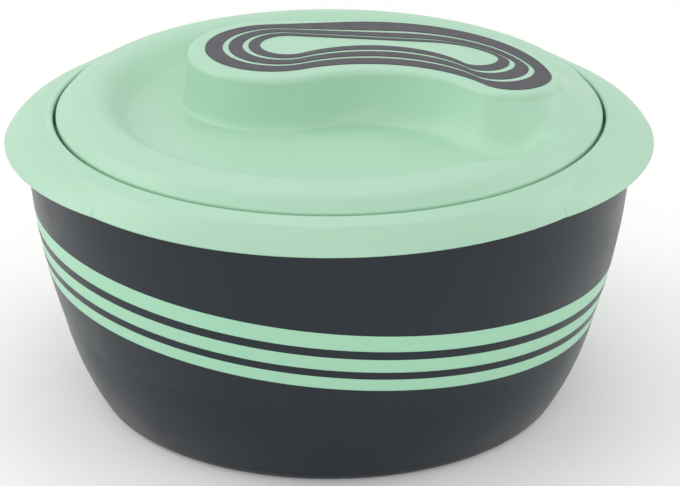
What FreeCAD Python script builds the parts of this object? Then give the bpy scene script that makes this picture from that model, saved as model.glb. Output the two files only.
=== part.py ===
import FreeCAD, Part
import math
import os
import Sketcher
from FreeCAD import Placement, Rotation, Vector

# Insulated chapati casserole: a foamed bowl with a steel liner, a collar with
# two ears, and an inset lid whose swirl handle is turned to lock it.
# Millimetres, +Z up, origin at the centre of the foot ring on the table.

doc = FreeCAD.newDocument("casserole")
sheet = doc.addObject("Spreadsheet::Sheet", "Sizes")

drivingSizes = {
    # Outer shell: radii are set in from the shoulder, heights stand on the table
    "shoulder_radius": 137.9,
    "shoulder_height": 122.9,
    "shell_wall": 2.6,
    "belly_in": 14.2,
    "belly_height": 45.0,
    "heel_in": 30.6,
    "heel_height": 4.6,
    "heel_arc": 9.0,
    "belly_arc": 136.0,
    "wall_arc": 300.0,
    "foot_in": 7.9,
    "foot_ring_width": 7.4,
    "foot_ring_slope": 1.0,
    "foot_depth": 3.0,
    "neck_step": 1.6,
    "neck_height": 4.6,
    "neck_root": 1.5,
    # Inlaid stripes, counted up the wall
    "stripe_depth": 1.0,
    "stripe_recess": 0.12,
    "stripe_over": 3.0,
    "stripe_tilt": 5.67,
    "stripe_heading": 7.2,
    "stripe_lower_low": 54.9,
    "stripe_lower_width": 6.2,
    "stripe_lower_gap": 3.7,
    "stripe_middle_width": 6.8,
    "stripe_middle_gap": 4.1,
    "stripe_upper_width": 8.2,
    # Rim collar: set out from the shoulder, heights above the ledge
    "collar_overhang": 2.9,
    "collar_lift": 0.8,
    "collar_lip_round": 0.8,
    "collar_lip_foot": 0.65,
    "collar_skirt_arc": 40.0,
    "collar_bend_in": 8.2,
    "collar_bend_rise": 7.7,
    "collar_bend_inner_drop": 2.0,
    "collar_crest_in": 13.6,
    "collar_crest_rise": 10.2,
    "collar_crest_arc": 1.3,
    "collar_crest_drop": 0.9,
    "collar_mouth_in": 15.1,
    "collar_wall": 2.4,
    "collar_fit": 0.2,
    "ledge_drop": 0.5,
    "ledge_thickness": 2.2,
    "ear_offset": 22.5,
    "ear_in": 15.3,
    "ear_reach": 21.0,
    "ear_rise": 12.5,
    "ear_arc": 23.0,
    "ear_lip_width": 3.1,
    "ear_trim_out": 3.6,
    "ear_span": 100.0,
    # Bayonet
    "tab_count": 4,
    "tab_reach": 2.9,
    "tab_rise": 4.6,
    "tab_thickness": 2.4,
    "tab_span": 24.0,
    "tab_root": 0.5,
    "lug_span": 22.0,
    "lug_thickness": 2.6,
    "lug_gap": 0.4,
    "lug_clearance": 0.8,
    "lock_angle": 26.0,
    "stop_span": 2.0,
    "stop_play": 1.2,
    # Steel bowl: mouth set in from the mouth of the collar
    "steel_thickness": 0.7,
    "steel_mouth_in": 9.2,
    "steel_flange_width": 5.1,
    "steel_side_arc": 330.0,
    "steel_side_in": 12.5,
    "steel_side_height": 33.0,
    "steel_corner_arc": 26.0,
    "steel_corner_width": 24.0,
    "steel_corner_lift": 0.2,
    "steel_floor_height": 15.0,
    # Gasket
    "gasket_in": 1.1,
    "gasket_width": 3.4,
    "gasket_height": 2.8,
    "gasket_gap": 0.3,
    "gasket_chamfer": 0.8,
    # Lid cover: radii set in from its edge, heights above its lower edge
    "lid_seam": 1.4,
    "lid_edge_rise": 7.6,
    "lid_edge_thickness": 2.6,
    "lid_edge_round": 0.8,
    "lid_rim_width": 4.4,
    "lid_shoulder_in": 4.8,
    "lid_shoulder_rise": 7.8,
    "lid_shoulder_round": 3.0,
    "lid_shoulder_foot": 1.0,
    "lid_shoulder_width": 1.8,
    "lid_shoulder_top": 0.5,
    "lid_crown_arc": 60.0,
    "lid_crown_in": 20.8,
    "lid_crown_rise": 12.0,
    "lid_lip_arc": 5.0,
    "recess_lip_width": 4.5,
    "recess_lip_drop": 2.0,
    "recess_wall_width": 5.0,
    "recess_depth": 11.4,
    "recess_foot_arc": 5.5,
    "recess_foot_width": 4.5,
    "recess_foot_rise": 2.4,
    "lid_wall": 2.4,
    "inside_floor_out": 1.0,
    "inside_wall_out": 2.0,
    "inside_foot_drop": 0.8,
    "inside_lip_drop": 1.4,
    "inside_shoulder_drop": 3.1,
    # Handle and grip plan, each outline made of tangent circles and drawn
    # for one lid radius
    "plan_lid_radius": 124.3,
    "handle_rise": 13.4,
    "handle_round": 3.5,
    "handle_left_margin": 8.3,
    "handle_right_margin": 5.1,
    "handle_root": 0.4,
    "handle_fillet": 4.4,
    "handle_fillet_bite": 0.35,
    "grip_left_x": -25.7,
    "grip_left_y": 18.3,
    "grip_left_radius": 31.1,
    "grip_right_x": 82.8,
    "grip_right_y": -19.0,
    "grip_right_radius": 16.9,
    "grip_waist_radius": 64.9,
    "grip_shoulder_radius": 84.9,
    "grip_shoulder_turn": 10.8,
    "island_left_x": -19.0,
    "island_left_y": 21.8,
    "island_left_radius": 12.7,
    "island_right_x": 67.9,
    "island_right_y": 3.6,
    "island_right_radius": 8.8,
    "island_waist_radius": 51.1,
    "island_shoulder_radius": 42.8,
    "island_shoulder_turn": 36.5,
    "foot_left_x": -25.7,
    "foot_left_y": 18.3,
    "foot_left_radius": 40.6,
    "foot_right_x": 83.5,
    "foot_right_y": -22.0,
    "foot_right_radius": 37.0,
    "foot_waist_radius": 80.0,
    "foot_shoulder_radius": 96.0,
    "foot_shoulder_turn": 10.8,
    "dome_margin": 2.0,
    "dome_foot_x": 74.0,
    "dome_foot_y": -20.0,
    "dome_foot_radius": 46.5,
    "dome_drop": 23.0,
    "dome_bulge": 0.7,
    "dome_start": 8.0,
    "scoop_x": 75.0,
    "scoop_y": -57.5,
    "scoop_radius": 16.0,
    "scoop_foot_round": 9.0,
    "scoop_lift": 0.15,
    "inlay_depth": 1.4,
    "inlay_outer_width": 7.5,
    "inlay_rib": 2.6,
    "inlay_proud": 0.3,
    "inlay_middle_width": 6.0,
    "inlay_inner_width": 5.0,
    # Lid liner
    "liner_gap": 3.4,
    "liner_wall": 2.2,
    "liner_lift": 0.1,
    "plug_gap": 5.0,
    "plug_flare": 1.9,
    "plug_flare_drop": 0.5,
    "plug_depth": 10.2,
    "plug_corner": 4.0,
    "groove_wall": 1.0,
    "pan_slope": 3.0,
    "pan_corner": 2.0,
    # Foam filling holes and their plugs
    "fill_radius": 9.0,
    "fill_flange": 3.0,
    "fill_flange_thickness": 1.2,
    "fill_chamfer": 0.6,
    "fill_fit": 0.15,
    # How far a cutting tool runs past what it cuts
    "tool_over": 1.0,
}
for row, (alias, value) in enumerate(drivingSizes.items(), start=1):
    sheet.set("A%d" % row, alias.replace("_", " "))
    sheet.set("B%d" % row, str(value))
    sheet.setAlias("B%d" % row, alias)
doc.recompute()


class Size:
    """A length that carries its value and the sheet expression it comes from."""

    def __init__(self, value, text):
        self.value = value
        self.text = text

    def __add__(self, other):
        other = asSize(other)
        return Size(self.value + other.value, "(%s + %s)" % (self.text, other.text))

    def __sub__(self, other):
        other = asSize(other)
        return Size(self.value - other.value, "(%s - %s)" % (self.text, other.text))

    def __mul__(self, factor):
        return Size(self.value * factor, "(%s * %s)" % (self.text, factor))


def asSize(number):
    return number if isinstance(number, Size) else Size(float(number), str(number))


def size(alias):
    return Size(float(sheet.get(alias)), "Sizes." + alias)


def number(alias):
    return float(sheet.get(alias))


def corner(radius, height, arc=None):
    """A corner of a turned profile; arc is the radius of the edge to the next
    corner, positive where it bulges out of the piece and negative where it is hollow."""
    return asSize(radius), asSize(height), None if arc is None else asSize(arc)


def originPlane(body, role):
    return [plane for plane in body.Origin.OriginFeatures if plane.Role == role][0]


def arcBetween(start, end, radius):
    """The arc from start to end, keeping the piece on its left when radius is positive."""
    chord = end - start
    middle = (start + end) * 0.5
    left = Vector(-chord.y, chord.x, 0) / chord.Length
    rise = math.sqrt(radius * radius - chord.Length * chord.Length / 4)
    centre = middle + left * (rise if radius > 0 else -rise)
    first, last = (start, end) if radius > 0 else (end, start)
    circle = Part.Circle(centre, Vector(0, 0, 1), abs(radius))
    return Part.ArcOfCircle(
        circle,
        math.atan2(first.y - centre.y, first.x - centre.x),
        math.atan2(last.y - centre.y, last.x - centre.x),
    )


def turned(label, corners, span=None, bodyTurn=0.0):
    """A body of revolution about its own Z, drawn counter-clockwise in the plane
    of radius and height, every corner bound to the size sheet."""
    body = doc.addObject("PartDesign::Body", label)
    sketch = body.newObject("Sketcher::SketchObject", label + "_profile")
    sketch.AttachmentSupport = [(originPlane(body, "XZ_Plane"), "")]
    sketch.MapMode = "FlatFace"
    points = [Vector(r.value, z.value, 0) for r, z, arc in corners]
    ends = []
    for index, (r, z, arc) in enumerate(corners):
        start = points[index]
        end = points[(index + 1) % len(points)]
        if arc is None:
            edge = sketch.addGeometry(Part.LineSegment(start, end), False)
        else:
            edge = sketch.addGeometry(arcBetween(start, end, arc.value), False)
        hollow = arc is not None and arc.value < 0
        ends.append((edge, 2, 1) if hollow else (edge, 1, 2))
    for index, (edge, startEnd, farEnd) in enumerate(ends):
        nextEdge, nextStart, nextFar = ends[(index + 1) % len(ends)]
        sketch.addConstraint(Sketcher.Constraint("Coincident", edge, farEnd, nextEdge, nextStart))
    for (edge, startEnd, farEnd), (r, z, arc) in zip(ends, corners):
        for kind, distance, axis in (("DistanceX", r, -2), ("DistanceY", z, -1)):
            if distance.value == 0:
                sketch.addConstraint(Sketcher.Constraint("PointOnObject", edge, startEnd, axis))
                continue
            limit = Sketcher.Constraint(kind, -1, 1, edge, startEnd, distance.value)
            place = sketch.addConstraint(limit)
            sketch.setExpression("Constraints[%d]" % place, distance.text)
        if arc is not None:
            bend = sketch.addConstraint(Sketcher.Constraint("Radius", edge, abs(arc.value)))
            sketch.setExpression("Constraints[%d]" % bend, "abs(%s)" % arc.text)
    turn = body.newObject("PartDesign::Revolution", label + "_turn")
    turn.Profile = sketch
    turn.ReferenceAxis = (sketch, ["V_Axis"])
    turn.Angle = 360
    if span is not None:
        turn.Midplane = True
        turn.setExpression("Angle", span.text)
    body.Placement = Placement(Vector(0, 0, 0), Rotation(Vector(0, 0, 1), bodyTurn))
    return body


def joined(label, pieces):
    fuse = doc.addObject("Part::MultiFuse", label)
    fuse.Shapes = pieces
    return fuse


def shared(label, pieces):
    common = doc.addObject("Part::MultiCommon", label)
    common.Shapes = pieces
    return common


def cutAway(label, base, tools):
    cut = doc.addObject("Part::Cut", label)
    cut.Base = base
    cut.Tool = tools[0] if len(tools) == 1 else joined(label + "_tools", tools)
    return cut


def cylinder(label, radius, low, high):
    solid = doc.addObject("Part::Cylinder", label)
    solid.setExpression("Radius", radius.text)
    solid.setExpression("Height", (high - low).text)
    solid.setExpression("Placement.Base.z", low.text)
    return solid


# Heights and radii that several pieces share
shellWall = size("shell_wall")
shellFloor = size("foot_depth") + shellWall
shoulderRadius = size("shoulder_radius")
shoulderHeight = size("shoulder_height")
heelRadius = shoulderRadius - size("heel_in")
footRadius = heelRadius - size("foot_in")
neckRadius = shoulderRadius - size("neck_step")
neckTop = shoulderHeight + size("neck_height")
collarRadius = shoulderRadius + size("collar_overhang")
collarLow = shoulderHeight + size("collar_lift")
mouth = collarRadius - size("collar_mouth_in")
ledgeTop = neckTop - size("ledge_drop")
ledgeUnder = ledgeTop - size("ledge_thickness")
bendHeight = ledgeTop + size("collar_bend_rise")
crestHeight = ledgeTop + size("collar_crest_rise")
steelWall = size("steel_thickness")
steelMouth = mouth - size("steel_mouth_in")
steelOuterMouth = steelMouth + steelWall
steelSide = steelMouth - size("steel_side_in")
steelFloor = steelSide - size("steel_corner_width")
flangeTop = ledgeTop + steelWall
lidRadius = mouth - size("lid_seam")
lidEdgeLow = ledgeTop + size("lid_edge_rise")
lidEdgeTop = lidEdgeLow + size("lid_edge_thickness")
lidInner = lidRadius - size("lid_rim_width")
crownRadius = lidRadius - size("lid_crown_in")
crownTop = lidEdgeLow + size("lid_crown_rise")
recessTop = crownTop - size("recess_lip_drop")
recessTopRadius = crownRadius - size("recess_lip_width")
recessFootRadius = recessTopRadius - size("recess_wall_width")
recessFloorRadius = recessFootRadius - size("recess_foot_width")
recessFloor = crownTop - size("recess_depth")
recessFoot = recessFloor + size("recess_foot_rise")
handleTop = crownTop + size("handle_rise")
toolOver = size("tool_over")


def outerWall(inset):
    """Corners of the bowl's outside from heel to shoulder, set in by a wall."""
    return [
        (heelRadius - inset, size("heel_height") + inset),
        (shoulderRadius - size("belly_in") - inset, size("belly_height")),
        (shoulderRadius - inset, shoulderHeight),
    ]


# Outer shell: foot ring, rounded heel, bulging wall and a stepped neck
neckInner = neckRadius - shellWall
neckRoot = shoulderHeight - size("neck_root")
shoulderRoot = shoulderHeight - shellWall - size("neck_step")
footInner = footRadius - size("foot_ring_width")


def makeShellBlank():
    heel, belly, shoulder = outerWall(asSize(0))
    heelIn, bellyIn, shoulderIn = outerWall(shellWall)
    return turned("shell_blank", [
        corner(0, size("foot_depth")),
        corner(footInner - size("foot_ring_slope"), size("foot_depth")),
        corner(footInner, 0),
        corner(footRadius, 0, size("heel_arc")),
        corner(*heel, size("belly_arc")),
        corner(*belly, size("wall_arc")),
        corner(*shoulder),
        corner(neckRadius, shoulderHeight),
        corner(neckRadius, neckTop),
        corner(neckInner, neckTop),
        corner(neckInner, neckRoot),
        corner(shoulderIn[0], shoulderRoot, (size("wall_arc") - shellWall) * -1),
        corner(*bellyIn, (size("belly_arc") - shellWall) * -1),
        corner(*heelIn),
        corner(footRadius, shellFloor),
        corner(0, shellFloor),
    ])


# Each stripe is a band between two tilted planes, let into the wall
def wallBand(label, depth, outset):
    """A ring along the wall, from depth inside its surface to outset outside it."""
    heel, belly, shoulder = outerWall(asSize(0))
    return turned(label, [
        corner(heel[0] + outset, heel[1], size("belly_arc") + outset),
        corner(belly[0] + outset, belly[1], size("wall_arc") + outset),
        corner(shoulder[0] + outset, shoulder[1]),
        corner(shoulder[0] - depth, shoulder[1], (size("wall_arc") - depth) * -1),
        corner(belly[0] - depth, belly[1], (size("belly_arc") - depth) * -1),
        corner(heel[0] - depth, heel[1]),
    ])


def tiltedSlab(label, low, width):
    """A round slab between the two tilted planes of one stripe."""
    tilt = number("stripe_tilt")
    heading = math.radians(number("stripe_heading"))
    slab = doc.addObject("Part::Cylinder", label)
    slab.setExpression("Radius", (collarRadius + shoulderHeight).text)
    slab.setExpression("Height", (size(width) * math.cos(math.radians(tilt))).text)
    lean = Rotation(Vector(-math.sin(heading), math.cos(heading), 0), tilt)
    slab.Placement = Placement(Vector(0, 0, low.value), lean)
    return slab


def makeFillPlug(label, plateLow, plateHigh):
    """The moulded plug of a foam filling hole: a low flange and a stem in the hole."""
    stem = size("fill_radius") - size("fill_fit")
    flange = size("fill_radius") + size("fill_flange")
    flangeLow = plateLow - size("fill_flange_thickness")
    return turned(label, [
        corner(0, flangeLow),
        corner(flange - size("fill_chamfer"), flangeLow),
        corner(flange, flangeLow + size("fill_chamfer")),
        corner(flange, plateLow),
        corner(stem, plateLow),
        corner(stem, plateHigh),
        corner(0, plateHigh),
    ])


fillHole = size("fill_radius")
shellBlank = makeShellBlank()
grooveBand = wallBand("groove_band", size("stripe_depth"), size("stripe_over"))
inlayBand = wallBand("inlay_band", size("stripe_depth"), size("stripe_recess") * -1)
stripes = []
grooves = []
stripeLow = size("stripe_lower_low")
for level in ("lower", "middle", "upper"):
    slab = tiltedSlab("slab_" + level, stripeLow, "stripe_%s_width" % level)
    grooves.append(shared("groove_" + level, [slab, grooveBand]))
    stripes.append(shared("stripe_" + level, [slab, inlayBand]))
    if level != "upper":
        stripeLow = stripeLow + size("stripe_%s_width" % level) + size("stripe_%s_gap" % level)
baseHole = cylinder("base_hole", fillHole, size("foot_depth") - toolOver, shellFloor + toolOver)
outerShell = cutAway("outer_shell", shellBlank, grooves + [baseHole])
baseFillPlug = makeFillPlug("base_fill_plug", size("foot_depth"), shellFloor)

# Steel bowl: pressed sheet with a flange that lies on the ledge of the collar
steelBowl = turned("steel_bowl", [
    corner(0, size("steel_floor_height")),
    corner(steelFloor, size("steel_floor_height"), size("steel_corner_arc")),
    corner(steelSide, size("steel_side_height"), size("steel_side_arc")),
    corner(steelOuterMouth, ledgeUnder),
    corner(steelOuterMouth, ledgeTop),
    corner(steelMouth + size("steel_flange_width"), ledgeTop),
    corner(steelMouth + size("steel_flange_width"), flangeTop),
    corner(steelMouth, flangeTop),
    corner(steelMouth, ledgeUnder, (size("steel_side_arc") - steelWall) * -1),
    corner(steelSide - steelWall, size("steel_side_height") + size("steel_corner_lift"),
           (size("steel_corner_arc") - steelWall) * -1),
    corner(steelFloor, size("steel_floor_height") + steelWall),
    corner(0, size("steel_floor_height") + steelWall),
])

# Foam between the shell and the steel
heelIn, bellyIn, shoulderIn = outerWall(shellWall)
bodyFoam = turned("body_foam", [
    corner(0, shellFloor),
    corner(footRadius, shellFloor),
    corner(*heelIn, size("belly_arc") - shellWall),
    corner(*bellyIn, size("wall_arc") - shellWall),
    corner(shoulderIn[0], shoulderRoot),
    corner(neckInner, neckRoot),
    corner(neckInner, ledgeUnder),
    corner(steelOuterMouth, ledgeUnder, size("steel_side_arc") * -1),
    corner(steelSide, size("steel_side_height"), size("steel_corner_arc") * -1),
    corner(steelFloor, size("steel_floor_height")),
    corner(0, size("steel_floor_height")),
])

# Rim collar: a hooked ring over the neck, an inset ledge, ears and bayonet tabs
collarWall = size("collar_wall")
neckFit = neckRadius + size("collar_fit")
lipRound = size("collar_lip_round")
lipFoot = size("collar_lip_foot")


def makeCollarRing():
    bend = collarRadius - size("collar_bend_in")
    bendInner = bendHeight - size("collar_bend_inner_drop")
    return turned("collar_ring", [
        corner(neckFit, collarLow),
        corner(collarRadius - lipFoot, collarLow, lipRound),
        corner(collarRadius, collarLow + lipFoot, size("collar_skirt_arc")),
        corner(bend, bendHeight),
        corner(collarRadius - size("collar_crest_in"), crestHeight, size("collar_crest_arc")),
        corner(mouth, crestHeight - size("collar_crest_drop")),
        corner(mouth, ledgeTop),
        corner(steelOuterMouth + size("collar_fit"), ledgeTop),
        corner(steelOuterMouth + size("collar_fit"), ledgeUnder),
        corner(mouth + collarWall, ledgeUnder),
        corner(mouth + collarWall, bendInner),
        corner(bend - collarWall, bendInner),
        corner(neckFit, neckTop + size("collar_fit")),
    ])


def makeEar(label, turn):
    """One ear: a round shelf about an axis beside the centre, open underneath."""
    edge = collarRadius - size("ear_in")
    inner = edge - size("ear_reach")
    top = collarLow + size("ear_rise")
    shelf = turned(label, [
        corner(edge - size("ear_lip_width"), collarLow),
        corner(edge - lipFoot, collarLow, lipRound),
        corner(edge, collarLow + lipFoot, size("ear_arc")),
        corner(inner, top),
        corner(inner, top - collarWall, (size("ear_arc") - collarWall) * -1),
    ], span=size("ear_span"), bodyTurn=turn)
    side = 1 if turn == 0 else -1
    shelf.setExpression("Placement.Base.x", "Sizes.ear_offset * %d" % side)
    return shelf


def sector(label, inner, outer, low, high, span, angle):
    """A block of a ring, centred on the given angle about the main axis."""
    return turned(label, [
        corner(inner, low), corner(outer, low), corner(outer, high), corner(inner, high),
    ], span=span, bodyTurn=angle)


tabCount = int(number("tab_count"))
tabAngles = [45 + 360.0 / tabCount * index for index in range(tabCount)]
tabInner = mouth - size("tab_reach")
tabOuter = mouth + size("tab_root")
tabLow = ledgeTop + size("tab_rise")
tabHigh = tabLow + size("tab_thickness")
lugHigh = tabLow - size("lug_gap")
lugLow = lugHigh - size("lug_thickness")
stopTurn = (number("lug_span") + number("stop_span") + number("stop_play")) / 2
lockParts = []
for index, angle in enumerate(tabAngles, start=1):
    lockParts.append(sector("tab_%d" % index, tabInner, tabOuter, tabLow, tabHigh,
                            size("tab_span"), angle))
    lockParts.append(sector("stop_%d" % index, tabInner, tabOuter, lugLow, tabHigh,
                            size("stop_span"), angle - stopTurn))
earPair = joined("ear_pair", [makeEar("ear_right", 0), makeEar("ear_left", 180)])
insideTrim = cylinder("ear_inside_trim", mouth + size("ear_trim_out"), collarLow - toolOver,
                      crestHeight + toolOver)
neckTrim = cylinder("ear_neck_trim", neckFit, collarLow - toolOver, neckTop + size("collar_fit"))
ears = cutAway("ears", earPair, [insideTrim, neckTrim])
rimCollar = joined("rim_collar", [makeCollarRing(), ears] + lockParts)

# Gasket: a soft ring between the lid and the flange of the steel bowl
gasketLow = flangeTop + size("gasket_gap")
gasketHigh = gasketLow + size("gasket_height")
gasketInner = steelMouth + size("gasket_in")
gasketOuter = gasketInner + size("gasket_width")
gasketChamfer = size("gasket_chamfer")
lidGasket = turned("lid_gasket", [
    corner(gasketInner + gasketChamfer, gasketLow),
    corner(gasketOuter - gasketChamfer, gasketLow),
    corner(gasketOuter, gasketLow + gasketChamfer),
    corner(gasketOuter, gasketHigh),
    corner(gasketInner, gasketHigh),
    corner(gasketInner, gasketLow + gasketChamfer),
])

# Lid liner: an underside pan that dips into the bowl, with groove and lugs
linerWall = size("liner_wall")
linerOuter = mouth - size("liner_gap")
linerLow = gasketLow + size("liner_lift")
grooveInner = gasketInner - size("gasket_gap")
grooveOuter = gasketOuter + size("gasket_gap")
grooveTop = gasketHigh + size("gasket_gap")
shelfTop = grooveTop + linerWall
plugRadius = steelMouth - size("plug_gap")
plugLow = ledgeTop - size("plug_depth")
plugCorner = size("plug_corner")
plugInside = plugRadius - linerWall
plugTop = ledgeTop - size("plug_flare_drop")
plateTop = plugLow + linerWall
flareRadius = plugRadius + size("plug_flare")
pitRadius = flareRadius - linerWall


def linerInside():
    """The pan's inner corners, from the rim land down to the axis."""
    return [
        corner(lidInner, shelfTop),
        corner(pitRadius + size("pan_slope"), shelfTop),
        corner(pitRadius, plugTop),
        corner(plugInside, plugLow + plugCorner),
        corner(plugInside - size("pan_corner"), plateTop),
        corner(0, plateTop),
    ]


def makeLiner():
    pan = turned("liner_pan", [
        corner(0, plugLow),
        corner(plugRadius - plugCorner, plugLow, plugCorner),
        corner(plugRadius, plugLow + plugCorner),
        corner(flareRadius, plugTop),
        corner(grooveInner - size("groove_wall"), linerLow),
        corner(grooveInner, linerLow),
        corner(grooveInner, grooveTop),
        corner(grooveOuter, grooveTop),
        corner(grooveOuter, linerLow),
        corner(linerOuter, linerLow),
        corner(linerOuter, lidEdgeLow),
        corner(lidInner, lidEdgeLow),
    ] + linerInside())
    lugInner, lugOuter = linerOuter - size("tab_root"), mouth - size("lug_clearance")
    lugs = [sector("lug_%d" % index, lugInner, lugOuter, lugLow, lugHigh, size("lug_span"),
                   angle + number("lock_angle"))
            for index, angle in enumerate(tabAngles, start=1)]
    hole = cylinder("liner_hole", fillHole, plugLow - toolOver, plateTop + toolOver)
    return cutAway("lid_liner", joined("liner_blank", [pan] + lugs), [hole])


lidLiner = makeLiner()
lidFillPlug = makeFillPlug("lid_fill_plug", plugLow, plateTop)

# Lid cover: a turned ring and dish with the swirl handle raised on it
lidWall = size("lid_wall")
dishUnder = recessFloor - lidWall
shoulderX = lidRadius - size("lid_shoulder_in")
shoulderZ = lidEdgeLow + size("lid_shoulder_rise")
insideOut = size("inside_wall_out")


def dishInside():
    """Radius and height of the cover's inner corners, from the axis to the rim land."""
    return [
        (asSize(0), dishUnder),
        (recessFloorRadius + size("inside_floor_out"), dishUnder),
        (recessFootRadius + insideOut, recessFoot - size("inside_foot_drop")),
        (recessTopRadius + insideOut, recessTop - size("inside_lip_drop")),
        (crownRadius, crownTop - lidWall),
        (lidInner, shoulderZ - size("inside_shoulder_drop")),
    ]


def makeLidRing():
    edgeRound = size("lid_edge_round")
    under = [corner(r, z) for r, z in dishInside()]
    under[4] = corner(*dishInside()[4], (size("lid_crown_arc") - lidWall) * -1)
    return turned("lid_ring", under + [
        corner(lidInner, lidEdgeLow),
        corner(lidRadius, lidEdgeLow),
        corner(lidRadius, lidEdgeTop, edgeRound),
        corner(lidRadius - edgeRound, lidEdgeTop + edgeRound),
        corner(shoulderX + size("lid_shoulder_foot"), shoulderZ - size("lid_shoulder_foot"),
               size("lid_shoulder_round")),
        corner(shoulderX - size("lid_shoulder_width"), shoulderZ + size("lid_shoulder_top"),
               size("lid_crown_arc")),
        corner(crownRadius, crownTop, size("lid_lip_arc")),
        corner(recessTopRadius, recessTop),
        corner(recessFootRadius, recessFoot, size("recess_foot_arc") * -1),
        corner(recessFloorRadius, recessFloor),
        corner(0, recessFloor),
    ])


def makeFoamDisc():
    inside = list(reversed(dishInside()))
    top = [corner(r, z) for r, z in inside]
    top[0] = corner(*inside[0], size("lid_crown_arc") - lidWall)
    return turned("foam_disc", list(reversed(linerInside())) + top)


class Plan:
    """A handle outline seen from above: a left and a right lobe, a hollow waist
    that touches both in front, a shoulder round the right lobe and a straight back."""

    def __init__(self, left, leftRadius, right, rightRadius, waistRadius, shoulderRadius, shoulderTurn):
        self.sizes = [left, leftRadius, right, rightRadius, waistRadius, shoulderRadius, shoulderTurn]

    def mixed(self, other, share):
        return Plan(*[a + (b - a) * share for a, b in zip(self.sizes, other.sizes)])

    def spread(self, margin):
        """The same outline set outwards by a margin, or inwards by a negative one."""
        left, leftRadius, right, rightRadius, waist, shoulder, turn = self.sizes
        return Plan(left, leftRadius + margin, right, rightRadius + margin, waist - margin,
                    shoulder + margin, turn)

    def wire(self, height):
        left, leftRadius, right, rightRadius, waistRadius, shoulderRadius, shoulderTurn = self.sizes
        turn = math.radians(shoulderTurn)
        outward = Vector(math.cos(turn), math.sin(turn), 0)
        shoulder = right - outward * (shoulderRadius - rightRadius)
        waist = circleMeeting(left, leftRadius + waistRadius, right, rightRadius + waistRadius)
        leftWaist = left + unit(waist - left) * leftRadius
        waistRight = right + unit(waist - right) * rightRadius
        rightShoulder = right + outward * rightRadius
        shoulderBack, leftBack = backTangent(shoulder, shoulderRadius, left, leftRadius)
        outline = Part.Wire([
            arcEdge(left, leftBack, leftWaist, True),
            arcEdge(waist, leftWaist, waistRight, False),
            arcEdge(right, waistRight, rightShoulder, True),
            arcEdge(shoulder, rightShoulder, shoulderBack, True),
            Part.LineSegment(shoulderBack, leftBack).toShape(),
        ])
        outline.translate(Vector(0, 0, height))
        return outline


def unit(vector):
    return vector * (1.0 / vector.Length)


def circleMeeting(first, firstRadius, second, secondRadius):
    """The meeting point of two circles on the right hand going from first to second."""
    gap = second - first
    along = (firstRadius ** 2 - secondRadius ** 2 + gap.Length ** 2) / (2 * gap.Length)
    aside = math.sqrt(firstRadius ** 2 - along ** 2)
    way = unit(gap)
    return first + way * along + Vector(way.y, -way.x, 0) * aside


def backTangent(right, rightRadius, left, leftRadius):
    """The straight back: where it leaves the right circle and meets the left one."""
    way = unit(left - right)
    lean = (rightRadius - leftRadius) / (left - right).Length
    outward = way * lean + Vector(way.y, -way.x, 0) * math.sqrt(1 - lean * lean)
    return right + outward * rightRadius, left + outward * leftRadius


def arcEdge(centre, start, end, leftTurn):
    """The arc from start to end about a centre, turning left or right."""
    first = math.atan2(start.y - centre.y, start.x - centre.x)
    last = math.atan2(end.y - centre.y, end.x - centre.x)
    if leftTurn and last < first:
        last += 2 * math.pi
    if not leftTurn and last > first:
        last -= 2 * math.pi
    half = (first + last) / 2
    middle = centre + Vector(math.cos(half), math.sin(half), 0) * (start - centre).Length
    return Part.Arc(start, middle, end).toShape()


planScale = lidRadius.value / number("plan_lid_radius")


def planSize(name):
    """A length of the handle's plan, in proportion to the lid."""
    return number(name) * planScale


def planFrom(name):
    """The outline whose circles the sheet gives under the name."""
    def centre(lobe):
        return Vector(planSize("%s_%s_x" % (name, lobe)), planSize("%s_%s_y" % (name, lobe)), 0)
    return Plan(centre("left"), planSize(name + "_left_radius"),
                centre("right"), planSize(name + "_right_radius"),
                planSize(name + "_waist_radius"), planSize(name + "_shoulder_radius"),
                number(name + "_shoulder_turn"))


gripPlan = planFrom("grip")
islandPlan = planFrom("island")
footPlan = planFrom("foot")


def makeTopPlan():
    """The handle's flat top: the grip's outline with a wider margin round its left lobe."""
    leftMargin, rightMargin = planSize("handle_left_margin"), planSize("handle_right_margin")
    left, leftRadius, right, rightRadius, waist, shoulder, turn = gripPlan.sizes
    return Plan(left, leftRadius + leftMargin, right, rightRadius + rightMargin,
                waist - leftMargin, shoulder + rightMargin, turn)


topPlan = makeTopPlan()
handleFoot = recessFloor.value - number("handle_root")
filletTop = recessFloor.value + number("handle_fillet") - number("handle_fillet_bite")


def handleShare(height):
    """How far up the handle's walls a height is, from 0 at the foot to 1 at the top."""
    return (height - handleFoot) / (handleTop.value - handleFoot)


def makeHandleSolid(inset, low, high):
    """The handle's walls, with an outline where the foot fillet ends."""
    outlines = []
    for share in (0, handleShare(filletTop), 1):
        plan = footPlan.mixed(topPlan, share).spread(-inset)
        outlines.append(plan.wire(low + (high - low) * share))
    return Part.makeLoft(outlines, True, True)


def solidFeature(label, shape):
    feature = doc.addObject("Part::Feature", label)
    feature.Shape = shape
    feature.Placement = Placement()
    return feature


def makeHandleBlank():
    """The handle's walls with their top edge rounded."""
    walls = makeHandleSolid(0, handleFoot, handleTop.value)
    rim = [edge for edge in walls.Edges
           if min(vertex.Z for vertex in edge.Vertexes) > handleTop.value - number("handle_root")]
    return solidFeature("handle_blank", walls.makeFillet(number("handle_round"), rim))


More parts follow.
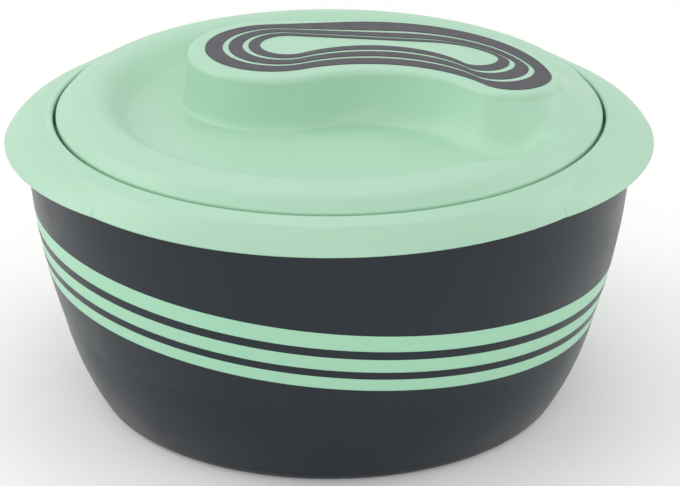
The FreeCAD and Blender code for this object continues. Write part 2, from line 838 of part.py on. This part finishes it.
def makeFootFillet():
    """A hollow sweep from the dish's floor up into the handle's walls. Its ends
    lie inside both, by the bite."""
    radius, bite = number("handle_fillet"), number("handle_fillet_bite")
    sections = []
    for angle in (0, 30, 60, 90):
        away = radius * (1 - math.sin(math.radians(angle))) - bite
        up = radius * (1 - math.cos(math.radians(angle))) - bite
        height = recessFloor.value + up
        plan = footPlan.mixed(topPlan, handleShare(height))
        sections.append(plan.spread(away).wire(height))
    return solidFeature("foot_fillet_sweep", Part.makeLoft(sections, True, False))


scoopCentre = Vector(planSize("scoop_x"), planSize("scoop_y"), recessFloor.value + number("scoop_lift"))


def makeDome():
    """The round right end that falls from the grip's tip to the lid's edge,
    kept only where it starts behind the scoop."""
    tip, tipRadius = gripPlan.sizes[2], gripPlan.sizes[3] + number("dome_margin")
    foot = Vector(planSize("dome_foot_x"), planSize("dome_foot_y"), 0)
    sections = []
    for drop in (0.0, 0.07, 0.3, 0.6, 0.9, 1.0):
        share = drop ** number("dome_bulge")
        centre = tip + (foot - tip) * share
        centre.z = handleTop.value - number("dome_drop") * drop
        radius = tipRadius + (planSize("dome_foot_radius") - tipRadius) * share
        sections.append(Part.Wire(Part.makeCircle(radius, centre)))
    base = Vector(foot.x, foot.y, handleFoot)
    rise = Vector(0, 0, centre.z - handleFoot)
    dome = Part.makeLoft(sections, True, False)
    root = Part.Face(Part.Wire(Part.makeCircle(radius, base))).extrude(rise)
    width = planSize("dome_foot_radius") * 2
    kept = Part.makeBox(width, width * 2, handleTop.value,
                        Vector(scoopCentre.x + planSize("dome_start"), foot.y - width, 0))
    return solidFeature("handle_dome", dome.fuse(root).common(kept))


def makeScoop(label, wall):
    """The round finger scoop that ends the dish beside the handle's right lobe."""
    base = scoopCentre - Vector(0, 0, wall)
    rise = handleTop.value + number("scoop_radius") - base.z
    well = Part.makeCylinder(number("scoop_radius") + wall, rise, base)
    foot = [edge for edge in well.Edges if edge.BoundBox.ZMax < handleTop.value]
    return solidFeature(label, well.makeFillet(number("scoop_foot_round") + wall, foot))


def makeScoopBacking():
    """The cover's wall below the scoop, down to the underside of the dish."""
    filled = turned("crown_filled", [
        corner(0, dishUnder),
        corner(lidInner, dishUnder),
        corner(lidInner, shoulderZ - size("lid_shoulder_foot")),
        corner(crownRadius, crownTop - lidWall),
        corner(0, crownTop - lidWall),
    ])
    return shared("scoop_backing", [filled, scoopOutside])


handleBlank = makeHandleBlank()
handleDome = makeDome()
recessInside = cylinder("recess_inside", recessTopRadius, recessFloor - toolOver, handleTop)
footFillet = shared("foot_fillet", [makeFootFillet(), recessInside])
coreTop = handleTop.value - number("inlay_depth") - lidWall.value
coreWalls = solidFeature("core_walls", makeHandleSolid(lidWall.value, dishUnder.value, coreTop))
corePit = cylinder("core_pit", pitRadius, dishUnder - toolOver, handleTop)
handleCore = shared("handle_core", [coreWalls, corePit])


# Grip inlays: three soft loops in grooves of the handle's top
def makeInlays():
    widths = [number("inlay_outer_width"), number("inlay_middle_width"), number("inlay_inner_width")]
    rib = number("inlay_rib")
    whole = sum(widths) + rib * (len(widths) - 1)
    low = handleTop.value - number("inlay_depth")
    rise = Vector(0, 0, number("inlay_depth") + number("inlay_proud"))
    inset = 0.0
    inlays = []
    for name, width in zip(("outer", "middle", "inner"), widths):
        outside = gripPlan.mixed(islandPlan, inset / whole).wire(low)
        inside = gripPlan.mixed(islandPlan, (inset + width) / whole).wire(low)
        loop = Part.Face(outside).cut(Part.Face(inside)).Faces[0].extrude(rise)
        inlays.append(solidFeature("grip_inlay_" + name, loop))
        inset += width + rib
    return inlays


inlays = makeInlays()
lidRing = makeLidRing()
scoopOutside = makeScoop("scoop_outside", lidWall.value)
scoopBacking = makeScoopBacking()
lidFoam = cutAway("lid_foam", joined("foam_blank", [makeFoamDisc(), handleCore]), [scoopOutside])
lidSolid = joined("lid_solid", [lidRing, handleBlank, handleDome, footFillet, scoopBacking])
lidBlank = cutAway("lid_blank", lidSolid, [makeScoop("scoop", 0.0)])
lidCover = cutAway("lid_cover", lidBlank, [lidFoam] + inlays)

nodes = [
    outerShell, *stripes, rimCollar, steelBowl, bodyFoam, baseFillPlug,
    lidGasket, lidCover, *inlays, lidLiner, lidFoam, lidFillPlug,
]

doc.recompute()
broken = [item.Label for item in doc.Objects if "Invalid" in item.State or "Error" in item.State]
if broken:
    raise RuntimeError("failed objects: " + ", ".join(broken))
for node in nodes:
    if node.Shape.isNull() or not node.Shape.isValid():
        raise RuntimeError("no valid shape: " + node.Label)

os.makedirs("parts", exist_ok=True)
for node in nodes:
    node.Shape.exportStep("parts/%s.step" % node.Label)
    print(node.Label, len(node.Shape.Solids), "solid(s)", round(node.Shape.Volume / 1000, 1), "cm3")
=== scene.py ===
import math

import bpy
import numpy as np
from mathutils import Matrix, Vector


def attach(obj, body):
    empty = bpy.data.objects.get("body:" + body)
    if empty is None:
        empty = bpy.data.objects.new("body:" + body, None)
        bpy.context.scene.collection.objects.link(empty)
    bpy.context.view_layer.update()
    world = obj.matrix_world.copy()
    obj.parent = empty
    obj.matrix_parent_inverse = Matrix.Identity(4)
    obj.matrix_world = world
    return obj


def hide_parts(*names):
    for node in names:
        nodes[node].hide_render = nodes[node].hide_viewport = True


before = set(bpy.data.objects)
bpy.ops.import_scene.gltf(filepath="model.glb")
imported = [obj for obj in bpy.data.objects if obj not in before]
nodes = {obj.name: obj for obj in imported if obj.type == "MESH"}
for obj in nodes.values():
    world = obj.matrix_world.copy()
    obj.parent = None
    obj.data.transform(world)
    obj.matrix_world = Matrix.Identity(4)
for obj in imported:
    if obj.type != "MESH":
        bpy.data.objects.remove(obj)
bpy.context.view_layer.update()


def linear(colour):
    # screen colour 0-255 to the values that shaders take
    values = []
    for part in colour:
        part = part / 255
        values.append(part / 12.92 if part <= 0.04045 else ((part + 0.055) / 1.055) ** 2.4)
    return (*values, 1.0)


def newFinish(name):
    finish = bpy.data.materials.new(name)
    finish.use_nodes = True
    tree = finish.node_tree
    return finish, tree, tree.nodes["Principled BSDF"]


def addNoise(tree, where, scale, detail=2.0, roughness=0.5):
    noise = tree.nodes.new("ShaderNodeTexNoise")
    noise.inputs["Scale"].default_value = scale
    noise.inputs["Detail"].default_value = detail
    noise.inputs["Roughness"].default_value = roughness
    tree.links.new(where, noise.inputs["Vector"])
    return noise.outputs["Fac"]


def addRange(tree, value, low, high, fromLow=0.3, fromHigh=0.7):
    span = tree.nodes.new("ShaderNodeMapRange")
    span.inputs["From Min"].default_value = fromLow
    span.inputs["From Max"].default_value = fromHigh
    span.inputs["To Min"].default_value = low
    span.inputs["To Max"].default_value = high
    tree.links.new(value, span.inputs["Value"])
    return span.outputs["Result"]


def addMix(tree, factor, first, second):
    blend = tree.nodes.new("ShaderNodeMix")
    blend.data_type = "RGBA"
    for socket, colour in (("A", first), ("B", second)):
        slots = [s for s in blend.inputs if s.name == socket and s.type == "RGBA"]
        if isinstance(colour, tuple):
            slots[0].default_value = colour
        else:
            tree.links.new(colour, slots[0])
    tree.links.new(factor, blend.inputs[0])
    return [s for s in blend.outputs if s.type == "RGBA"][0]


def addBump(tree, shader, height, strength, distance, below=None):
    bump = tree.nodes.new("ShaderNodeBump")
    bump.inputs["Strength"].default_value = strength
    bump.inputs["Distance"].default_value = distance
    tree.links.new(height, bump.inputs["Height"])
    if below is not None:
        tree.links.new(below, bump.inputs["Normal"])
    tree.links.new(bump.outputs["Normal"], shader.inputs["Normal"])
    return bump.outputs["Normal"]


# how deep the grain is and how far light goes into silicone, in metres
grainDepth = 0.0001
scatterDepth = 0.002


# moulded plastic: colour drift, fine grain, faint hairline scuffs
def mouldedFinish(name, look):
    finish, tree, shader = newFinish(name)
    place = tree.nodes.new("ShaderNodeTexCoord").outputs["Object"]
    drift = addNoise(tree, place, look["driftScale"], 3.0)
    fine = addNoise(tree, place, look["grainScale"], 2.0, 0.6)
    tree.links.new(
        addMix(tree, drift, linear(look["colour"]), linear(look["colourDrift"])),
        shader.inputs["Base Color"],
    )
    cloud = addNoise(tree, place, look["cloudScale"], 4.0, 0.65)
    tree.links.new(
        addRange(tree, cloud, look["roughness"] - look["roughnessSpread"],
                 look["roughness"] + look["roughnessSpread"]),
        shader.inputs["Roughness"],
    )
    # scuffs run mostly round the pot, so the noise is stretched along the height
    squeeze = tree.nodes.new("ShaderNodeMapping")
    squeeze.inputs["Scale"].default_value = look["scuffStretch"]
    tree.links.new(place, squeeze.inputs["Vector"])
    scuffs = addNoise(tree, squeeze.outputs["Vector"], look["scuffScale"], 1.0, 0.4)
    worn = addBump(tree, shader, scuffs, look["scuffStrength"], grainDepth)
    addBump(tree, shader, fine, look["grainStrength"], grainDepth, worn)
    shader.inputs["IOR"].default_value = look["ior"]
    shader.inputs["Specular IOR Level"].default_value = look["specular"]
    if look.get("depth"):
        shader.subsurface_method = "RANDOM_WALK"
        shader.inputs["Subsurface Weight"].default_value = look["depth"]
        shader.inputs["Subsurface Scale"].default_value = scatterDepth
        shader.inputs["Subsurface Radius"].default_value = (1.0, 1.0, 1.0)
    return finish


mintMoulding = {
    "colour": (168, 209, 182),
    "colourDrift": (174, 213, 187),
    "driftScale": 14.0,
    "grainScale": 2600.0,
    "grainStrength": 0.12,
    "cloudScale": 60.0,
    "roughness": 0.42,
    "roughnessSpread": 0.05,
    "scuffStretch": (1.0, 1.0, 7.0),
    "scuffScale": 240.0,
    "scuffStrength": 0.03,
    "ior": 1.49,
    "specular": 0.5,
}
mintStripe = dict(mintMoulding, colour=(166, 220, 187), colourDrift=(172, 223, 191),
                  grainScale=1900.0, roughness=0.36)
darkShell = {
    "colour": (20, 30, 40),
    "colourDrift": (25, 35, 45),
    "driftScale": 11.0,
    "grainScale": 2200.0,
    "grainStrength": 0.16,
    "cloudScale": 45.0,
    "roughness": 0.34,
    "roughnessSpread": 0.05,
    "scuffStretch": (1.0, 1.0, 9.0),
    "scuffScale": 180.0,
    "scuffStrength": 0.05,
    "ior": 1.49,
    "specular": 0.36,
}
softGrip = {
    "colour": (58, 57, 64),
    "colourDrift": (66, 64, 71),
    "driftScale": 40.0,
    "grainScale": 3400.0,
    "grainStrength": 0.3,
    "cloudScale": 120.0,
    "roughness": 0.52,
    "roughnessSpread": 0.06,
    "scuffStretch": (1.0, 1.0, 1.0),
    "scuffScale": 420.0,
    "scuffStrength": 0.05,
    "ior": 1.47,
    "specular": 0.5,
}
clearSilicone = dict(softGrip, colour=(214, 216, 210), colourDrift=(222, 222, 216),
                     roughness=0.48, grainStrength=0.1, depth=0.3)
whiteLiner = dict(mintMoulding, colour=(222, 228, 222), colourDrift=(228, 232, 228),
                  roughness=0.38)
foamFill = dict(softGrip, colour=(228, 208, 158), colourDrift=(238, 220, 172),
                driftScale=90.0, grainScale=900.0, grainStrength=0.8,
                roughness=0.85, roughnessSpread=0.08)


# spun steel: rings turned round the axis, so the grain follows the radius and the height
def steelFinish(look):
    finish, tree, shader = newFinish("brushedSteel")
    place = tree.nodes.new("ShaderNodeTexCoord").outputs["Object"]
    split = tree.nodes.new("ShaderNodeSeparateXYZ")
    tree.links.new(place, split.inputs["Vector"])
    flatten = tree.nodes.new("ShaderNodeVectorMath")
    flatten.operation = "MULTIPLY"
    flatten.inputs[1].default_value = (1.0, 1.0, 0.0)
    tree.links.new(place, flatten.inputs[0])
    radius = tree.nodes.new("ShaderNodeVectorMath")
    radius.operation = "LENGTH"
    tree.links.new(flatten.outputs["Vector"], radius.inputs[0])
    ring = tree.nodes.new("ShaderNodeCombineXYZ")
    tree.links.new(radius.outputs["Value"], ring.inputs["X"])
    tree.links.new(split.outputs["Z"], ring.inputs["Y"])
    lines = addNoise(tree, ring.outputs["Vector"], look["lineScale"], 2.0, 0.7)
    cloud = addNoise(tree, place, look["cloudScale"], 3.0)
    tree.links.new(addMix(tree, cloud, linear(look["colour"]), linear(look["colourDrift"])),
                   shader.inputs["Base Color"])
    tree.links.new(addRange(tree, lines, look["smoothest"], look["roughest"]),
                   shader.inputs["Roughness"])
    addBump(tree, shader, lines, look["lineStrength"], look["lineDepth"])
    shader.inputs["Metallic"].default_value = 1.0
    return finish


brushedSteel = {
    "colour": (196, 197, 196),
    "colourDrift": (206, 206, 204),
    "cloudScale": 30.0,
    "lineScale": 1500.0,
    "lineStrength": 0.25,
    "lineDepth": 0.00005,
    "smoothest": 0.2,
    "roughest": 0.34,
}

finishes = {
    "darkShell": mouldedFinish("darkShell", darkShell),
    "mintMoulding": mouldedFinish("mintMoulding", mintMoulding),
    "mintStripe": mouldedFinish("mintStripe", mintStripe),
    "softGrip": mouldedFinish("softGrip", softGrip),
    "silicone": mouldedFinish("silicone", clearSilicone),
    "whiteLiner": mouldedFinish("whiteLiner", whiteLiner),
    "foam": mouldedFinish("foam", foamFill),
    "steel": steelFinish(brushedSteel),
}
print("finishes made:", len(finishes))

wornBy = {
    "darkShell": ("outer_shell", "base_fill_plug"),
    "mintMoulding": ("rim_collar", "lid_cover"),
    "mintStripe": ("stripe_upper", "stripe_middle", "stripe_lower"),
    "softGrip": ("grip_inlay_outer", "grip_inlay_middle", "grip_inlay_inner"),
    "silicone": ("lid_gasket",),
    "whiteLiner": ("lid_liner", "lid_fill_plug"),
    "foam": ("body_foam", "lid_foam"),
    "steel": ("steel_bowl",),
}
for finishName, pieceNames in wornBy.items():
    for pieceName in pieceNames:
        materials = nodes[pieceName].data.materials
        if len(materials) == 0:
            materials.append(finishes[finishName])
        for place in range(len(materials)):
            materials[place] = finishes[finishName]
print("finishes on the pot's own pieces")


# lid moulding: one smooth skin from the handle's flat top over its walls, the dish and
# the crown to the lid's edge, with the finger pocket that the photograph shows
millimetre = 0.001
handlePlan = {
    "left": (-25.7, 18.3),
    "leftRadius": 39.4,
    "right": (82.8, -19.0),
    "rightRadius": 22.0,
    "waistRadius": 56.6,
    "shoulderRadius": 90.0,
    "shoulderTurn": 10.8,
    "step": 0.55,
}
lidForm = {
    "top": 160.0,
    "edgeRound": 3.5,
    "edgeSteps": 7,
    "wallRows": 44,
    "wallCrowding": 1.7,
    "dishRows": 150,
    "dishReach": 117.0,
    "footReach": 115.0,
    "fanReach": 45.0,
    # how far the wall's foot sweeps out and how steep the wall starts, along the
    # outline's five parts: left lobe, waist, right lobe, shoulder and straight back
    "sweepAt": (0.0, 1.0, 1.5, 2.0, 2.3, 2.55, 2.8, 3.0, 3.5, 4.0, 5.0),
    "sweep": (5.8, 7.0, 12.0, 14.0, 16.0, 26.0, 26.0, 20.0, 16.0, 8.0, 5.8),
    "steepness": (7.0, 6.0, 3.4, 2.8, 2.2, 1.25, 1.1, 1.1, 1.5, 4.0, 7.0),
    # the crown by radius, and how far the dish lies below it by the distance from its lip
    "crown": ((0.0, 145.5), (105.5, 145.5), (111.0, 145.3), (116.5, 144.1), (130.0, 137.5)),
    "depth": ((-99.0, 10.3), (-14.0, 10.3), (-7.0, 9.1), (-2.0, 5.1), (2.0, 1.7), (7.0, 0.0),
              (31.0, 0.0)),
    "soften": 1.6,
    # rows that the running means reach, and the least turn between two rays
    "sweepMean": 30,
    "turnMean": 20,
    "leastTurn": 0.0015,
    "lip": 99.0,
    "dishEnd": 84.0,
    "dishRound": 18.0,
    "pocket": (71.0, -51.0),
    "pocketRadius": 22.5,
    "pocketRound": 14.0,
    "edge": ((118.4, 143.1), (119.4, 142.4), (120.2, 141.7), (121.4, 140.4), (122.6, 139.1),
             (123.4, 138.2), (123.9, 137.8), (124.2, 137.4), (124.3, 136.9), (124.3, 134.9),
             (124.1, 134.65), (123.6, 134.6), (119.9, 134.6), (119.9, 138.6), (114.5, 138.6)),
}


def handleOutline(plan):
    # points of the outline, the way out at each, and how far along the five parts it is
    left, right = np.array(plan["left"]), np.array(plan["right"])
    leftRadius, rightRadius = plan["leftRadius"], plan["rightRadius"]
    waistRadius = plan["waistRadius"]
    gap = right - left
    near, far = leftRadius + waistRadius, rightRadius + waistRadius
    along = (near ** 2 - far ** 2 + gap @ gap) / (2 * math.hypot(*gap))
    aside = math.sqrt(near ** 2 - along ** 2)
    way = gap / math.hypot(*gap)
    waist = left + way * along + np.array((way[1], -way[0])) * aside
    turn = math.radians(plan["shoulderTurn"])
    tip = np.array((math.cos(turn), math.sin(turn)))
    shoulder = right - tip * (plan["shoulderRadius"] - rightRadius)
    way = (left - shoulder) / math.hypot(*(left - shoulder))
    lean = (plan["shoulderRadius"] - leftRadius) / math.hypot(*(left - shoulder))
    back = way * lean + np.array((way[1], -way[0])) * math.sqrt(1 - lean ** 2)
    # each arc: centre, radius, way to its start and to its end, and the side it bulges to
    arcs = [
        (left, leftRadius, back, waist - left, 1),
        (waist, waistRadius, left - waist, right - waist, -1),
        (right, rightRadius, waist - right, tip, 1),
        (shoulder, plan["shoulderRadius"], tip, back, 1),
    ]
    points, ways, parts = [], [], []
    for part, (centre, radius, first, last, bulge) in enumerate(arcs):
        begin = math.atan2(first[1], first[0])
        span = (math.atan2(last[1], last[0]) - begin) % (2 * math.pi)
        if bulge < 0:
            span -= 2 * math.pi
        count = int(abs(span) * radius / plan["step"]) + 1
        for index in range(count):
            angle = begin + span * index / count
            spoke = np.array((math.cos(angle), math.sin(angle)))
            points.append(centre + spoke * radius)
            ways.append(spoke * bulge)
            parts.append(part + index / count)
    start, end = shoulder + back * plan["shoulderRadius"], left + back * leftRadius
    count = int(math.hypot(*(end - start)) / plan["step"]) + 1
    for index in range(count):
        points.append(start + (end - start) * index / count)
        ways.append(back)
        parts.append(len(arcs) + index / count)
    return np.array(points), np.array(ways), np.array(parts)


# how finely a profile is sampled, in millimetres, and how many samples a corner takes up
profileStep = 0.1
profileReach = 60


def softened(corners, soften):
    # a profile of straight runs with its corners rounded, as even places and heights
    places = np.arange(corners[0][0], corners[-1][0], profileStep)
    heights = np.interp(places, *zip(*corners))
    reach = np.arange(-profileReach, profileReach + 1)
    weights = np.exp(-0.5 * (reach * profileStep / soften) ** 2)
    padded = np.pad(heights, profileReach, mode="edge")
    return places, np.convolve(padded, weights / weights.sum(), mode="valid")


def smoothLoop(values, reach):
    # a running mean round a closed loop
    weights = np.hanning(reach * 2 + 1)
    loop = np.concatenate((values[-reach:], values, values[:reach]))
    return np.convolve(loop, weights / weights.sum(), mode="valid")


def blended(first, second, width):
    # the larger of two distances, with the corner between them rounded
    mix = np.clip(0.5 + 0.5 * (first - second) / width, 0.0, 1.0)
    return second * (1 - mix) + first * mix + width * mix * (1 - mix)


def lidHeight(form, places):
    # the lid without its handle: the dish inside its lip, the pocket, and the crown outside
    distance = np.hypot(places[:, 0], places[:, 1])
    toLip, toEnd = distance - form["lip"], places[:, 0] - form["dishEnd"]
    outside = blended(toLip, toEnd, form["dishRound"])
    toPocket = np.hypot(places[:, 0] - form["pocket"][0], places[:, 1] - form["pocket"][1])
    outside = -blended(-outside, form["pocketRadius"] - toPocket, form["pocketRound"])
    return np.interp(distance, *form["crownTable"]) - np.interp(outside, *form["depthTable"])


def lidRows(form, plan):
    points, ways, parts = handleOutline(plan)
    form = dict(form, crownTable=softened(form["crown"], form["soften"]),
                depthTable=softened(form["depth"], form["soften"]))
    # the wall's foot stays inside the crown's edge
    along = (points * ways).sum(1)
    room = np.sqrt(along ** 2 - (points ** 2).sum(1) + form["footReach"] ** 2) - along
    sweep = np.minimum(np.interp(parts, form["sweepAt"], form["sweep"]), room)
    sweep = smoothLoop(sweep, form["sweepMean"])
    steepness = np.interp(parts, form["sweepAt"], form["steepness"])
    steepness = smoothLoop(steepness, form["sweepMean"])
    fan = points + ways * form["fanReach"]
    turns = np.unwrap(np.arctan2(fan[:, 1], fan[:, 0]))
    steps = np.diff(np.append(turns, turns[0] + 2 * math.pi))
    steps = smoothLoop(np.clip(steps, form["leastTurn"], None), form["turnMean"])
    turns = turns[0] + np.concatenate(([0.0], np.cumsum(steps)[:-1])) * 2 * math.pi / steps.sum()
    rays = np.column_stack((np.cos(turns), np.sin(turns)))

    def row(places, heights):
        return np.column_stack((places, np.broadcast_to(heights, len(places))))

    rows = []
    edge = form["edgeRound"]
    for angle in np.linspace(0.0, math.pi / 2, form["edgeSteps"]):
        rows.append(row(points - ways * edge * (1 - math.sin(angle)),
                        form["top"] - edge * (1 - math.cos(angle))))
    for index in range(1, form["wallRows"] + 1):
        share = (index / form["wallRows"]) ** form["wallCrowding"]
        places = points + ways * (sweep * share)[:, None]
        base = lidHeight(form, places)
        rows.append(row(places, base + (form["top"] - edge - base) * (1 - share) ** steepness))
    foot, rim = points + ways * sweep[:, None], rays * form["dishReach"]
    for index in range(1, form["dishRows"] + 1):
        places = foot + (rim - foot) * (index / form["dishRows"])
        rows.append(row(places, lidHeight(form, places)))
    for radius, height in form["edge"]:
        rows.append(row(rays * radius, height))
    return rows


def makeLidMoulding():
    rows = lidRows(lidForm, handlePlan)
    around = len(rows[0])
    corners = np.concatenate(rows) * millimetre
    faces = [tuple(range(around))]
    for low in range(0, (len(rows) - 1) * around, around):
        for index in range(around):
            after = (index + 1) % around
            faces.append((low + index, low + around + index, low + around + after, low + after))
    skin = bpy.data.meshes.new("lidMoulding")
    skin.from_pydata(corners.tolist(), [], faces)
    skin.polygons.foreach_set("use_smooth", [True] * len(faces))
    skin.materials.append(finishes["mintMoulding"])
    moulding = bpy.data.objects.new("lidMoulding", skin)
    bpy.context.scene.collection.objects.link(moulding)
    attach(moulding, "lid")
    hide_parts("lid_cover", "lid_foam")


makeLidMoulding()
print("lid moulding made")


# studio: pale floor that stays white to the camera but keeps the pot's shadow
studio = {
    "floorSize": 6.0,
    "floorColour": (236, 236, 234),
    "floorDrift": (240, 240, 238),
    "floorGrain": 300.0,
    "floorRoughness": 0.9,
    "floorSpecular": 0.1,
    "floorLift": 0.16,
    "worldStrength": 0.62,
    "worldColour": (255, 255, 255),
}


def addSeen(tree):
    # one for rays from the camera, and for those that a shiny or clear piece sends on
    rays = tree.nodes.new("ShaderNodeLightPath")
    seen = rays.outputs["Is Camera Ray"]
    for kind in ("Is Glossy Ray", "Is Transmission Ray"):
        both = tree.nodes.new("ShaderNodeMath")
        both.operation = "MAXIMUM"
        tree.links.new(seen, both.inputs[0])
        tree.links.new(rays.outputs[kind], both.inputs[1])
        seen = both.outputs["Value"]
    return seen


def makeFloor():
    side = studio["floorSize"] / 2
    sheet = bpy.data.meshes.new("studioFloor")
    sheet.from_pydata(
        [(-side, -side, 0), (side, -side, 0), (side, side, 0), (-side, side, 0)], [], [(0, 1, 2, 3)]
    )
    floor = bpy.data.objects.new("studioFloor", sheet)
    bpy.context.scene.collection.objects.link(floor)
    finish, tree, shader = newFinish("floorPaper")
    place = tree.nodes.new("ShaderNodeTexCoord").outputs["Object"]
    grain = addNoise(tree, place, studio["floorGrain"], 3.0)
    paper = addMix(tree, grain, linear(studio["floorColour"]), linear(studio["floorDrift"]))
    tree.links.new(paper, shader.inputs["Base Color"])
    shader.inputs["Roughness"].default_value = studio["floorRoughness"]
    shader.inputs["Specular IOR Level"].default_value = studio["floorSpecular"]
    shader.inputs["Emission Color"].default_value = (1, 1, 1, 1)
    seen = addRange(tree, addSeen(tree), 0.0, studio["floorLift"], 0.0, 1.0)
    tree.links.new(seen, shader.inputs["Emission Strength"])
    floor.data.materials.append(finish)


def makeWorld():
    world = bpy.data.worlds.new("studioAir")
    world.use_nodes = True
    bpy.context.scene.world = world
    tree = world.node_tree
    air = tree.nodes["Background"]
    air.inputs["Color"].default_value = linear(studio["worldColour"])
    strength = addRange(tree, addSeen(tree), studio["worldStrength"], 1.0, 0.0, 1.0)
    tree.links.new(strength, air.inputs["Strength"])


lampAim = (0.0, 0.0, 0.08)
softLamps = {
    "overhead": {"at": (-0.15, 0.25, 1.5), "size": (1.5, 1.1), "watts": 4.6},
    "leftPanel": {"at": (-1.25, 0.05, 0.75), "size": (0.7, 1.2), "watts": 6.0},
    "rightPanel": {"at": (1.25, 0.25, 0.65), "size": (0.5, 1.1), "watts": 3.5},
    "frontFill": {"at": (0.1, -1.6, 0.9), "size": (1.2, 0.8), "watts": 6.0},
}


def makeLamps():
    aim = Vector(lampAim)
    for lampName, lamp in softLamps.items():
        data = bpy.data.lights.new(lampName, "AREA")
        data.shape = "RECTANGLE"
        data.size, data.size_y = lamp["size"]
        data.energy = lamp["watts"]
        panel = bpy.data.objects.new(lampName, data)
        panel.location = lamp["at"]
        panel.rotation_euler = (aim - panel.location).to_track_quat("-Z", "Y").to_euler()
        bpy.context.scene.collection.objects.link(panel)


makeFloor()
makeWorld()
makeLamps()
print("studio lit")


# the lens and place that the rims and the outline in the photograph give
viewpoint = {
    "aim": (0.0, 0.0, 0.070749),
    "distance": 1.70918,
    "tilt": 0.404,
    "lens": 195.702,
    "shiftX": 0.0159,
    "sensor": 36.0,
    "near": 0.05,
    "far": 50.0,
}


def makeCamera():
    data = bpy.data.cameras.new("photoView")
    data.sensor_width = viewpoint["sensor"]
    data.lens = viewpoint["lens"]
    data.shift_x = viewpoint["shiftX"]
    data.clip_start, data.clip_end = viewpoint["near"], viewpoint["far"]
    camera = bpy.data.objects.new("photoView", data)
    tilt = viewpoint["tilt"]
    back = Vector((0.0, -math.cos(tilt), math.sin(tilt)))
    camera.location = Vector(viewpoint["aim"]) + back * viewpoint["distance"]
    camera.rotation_euler = (math.pi / 2 - tilt, 0.0, 0.0)
    bpy.context.scene.collection.objects.link(camera)
    bpy.context.scene.camera = camera


makeCamera()
bpy.context.scene.view_settings.view_transform = "Standard"
